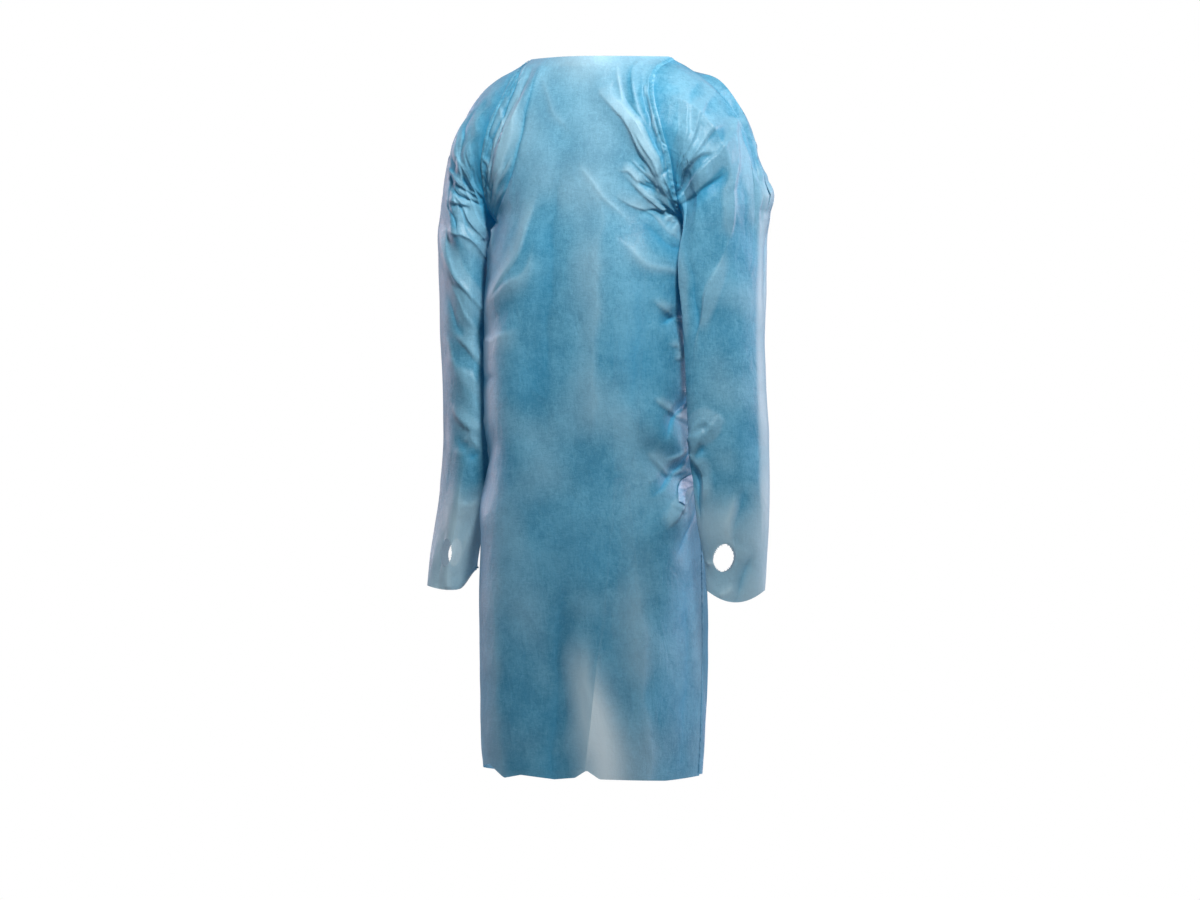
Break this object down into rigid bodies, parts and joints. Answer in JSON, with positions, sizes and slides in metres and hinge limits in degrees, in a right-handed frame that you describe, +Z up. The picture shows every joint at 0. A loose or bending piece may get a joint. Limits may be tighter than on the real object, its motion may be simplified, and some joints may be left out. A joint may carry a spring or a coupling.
{
  "type": "isolation gown",
  "caption": "Thin see-through blue film-coated gown in its worn, hollow shape: straight neck edge, long sleeves with thumb holes, open back and a tied waist.",
  "frame": {"origin": "midway between the two neck corners of the shoulder seams, where the gown hangs on the wearer's shoulders", "axes": "+Z up; the front faces -Y; the wearer's left is +X"},
  "size_m": [0.5458, 0.28, 1.0795],
  "materials": {
    "coated_film": "thin light-blue nonwoven with a glossy film coat, partly see-through, fibrous mottle and fine creases",
    "tie_film": "the same coated cloth as a folded strip, glossy and paler"
  },
  "bodies": {
    "root": {"front_panel": "coated_film", "back_panel_left": "coated_film", "back_panel_right": "coated_film", "sleeve_left": "coated_film", "sleeve_right": "coated_film", "waist_tie_left": "tie_film", "waist_tie_right": "tie_film", "tie_knot": "tie_film", "tie_tail_left": "tie_film", "tie_tail_right": "tie_film"}
  },
  "joints": []
}
